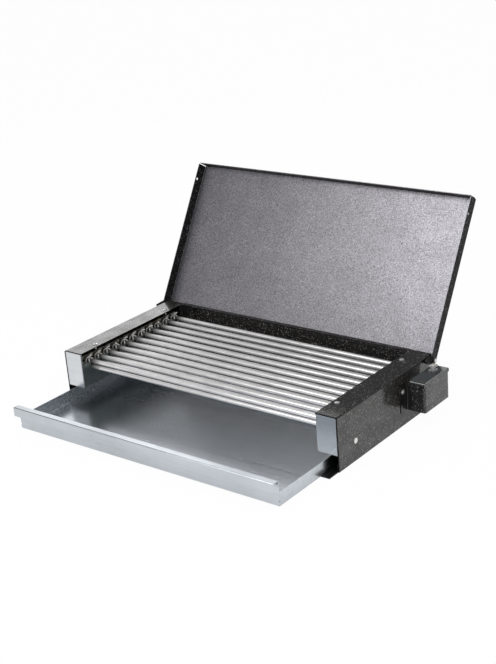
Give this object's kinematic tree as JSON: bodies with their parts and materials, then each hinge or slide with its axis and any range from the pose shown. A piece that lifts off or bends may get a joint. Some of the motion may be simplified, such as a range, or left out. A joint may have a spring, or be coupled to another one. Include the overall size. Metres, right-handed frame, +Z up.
{
  "type": "electric table grill",
  "caption": "Low sheet steel table grill with a rack of tubular heating elements, a drip tray that slides out at the front and a lid hinged at the rear corners.",
  "frame": {"origin": "centre of the body on the underside of the base plate, on the surface that the grill stands on", "axes": "+Z up, +Y to the rear where the lid is hinged, +X to the right as seen from the front, towards the control box"},
  "size_m": [0.5441, 0.4996, 0.285],
  "materials": {
    "black_enamel": "satin black enamel",
    "hammertone": "black brown hammertone paint",
    "lid_hammertone": "grey black hammertone paint",
    "hammertone_grey": "dark grey hammertone paint",
    "cover_grey": "smooth grey green paint",
    "galvanised": "galvanised steel sheet",
    "tray_galvanised": "galvanised steel sheet with soft streaks",
    "stainless": "bright stainless tube",
    "bright_wire": "bright wire",
    "nickel": "nickel plated",
    "zinc": "zinc plated",
    "brass": "plain brass",
    "ceramic": "unglazed ceramic",
    "wire_sleeve": "glass fibre sleeve",
    "black_screw": "blackened steel",
    "black_plastic": "moulded black plastic"
  },
  "bodies": {
    "body": {"base_plate": "black_enamel", "side_panel_left": "hammertone", "side_panel_right": "hammertone", "rear_wall": "hammertone", "channel_left": "galvanised", "channel_right": "galvanised", "heating_elements": "stainless", "element_clips": "bright_wire", "element_beads": "ceramic", "terminal_pins": "nickel", "busbar_upper": "nickel", "busbar_lower": "nickel", "terminal_nuts": "nickel", "ring_terminals": "brass", "supply_wires": "wire_sleeve", "wire_duct": "galvanised", "wire_bushing": "ceramic", "flange_screws": "zinc", "side_rivets": "zinc", "hinge_bolts": "zinc", "hinge_spacers": "zinc", "hinge_washers": "black_screw", "hinge_nuts": "black_screw", "wing_nuts": "zinc", "bracket": "black_enamel", "bracket_screw": "zinc", "bracket_rivets": "zinc", "control_box": "hammertone_grey", "control_cover": "cover_grey", "cover_screws": "black_screw", "terminal_block": "ceramic", "block_screws": "brass", "earth_stud": "brass", "earth_nut": "brass", "cable_gland": "black_plastic", "gland_nut": "black_plastic"},
    "lid": {"lid": "lid_hammertone"},
    "tray": {"drip_tray": "tray_galvanised"}
  },
  "joints": [
    {"name": "lid_hinge", "type": "hinge", "parent": "body", "child": "lid", "pos_m": [0, 0.117, 0.072], "axis": [-1, 0, 0], "range_deg": [-121, 0]},
    {"name": "tray_slide", "type": "slide", "parent": "body", "child": "tray", "axis": [0, -1, 0], "range_m": [-0.1145, 0.096]}
  ]
}
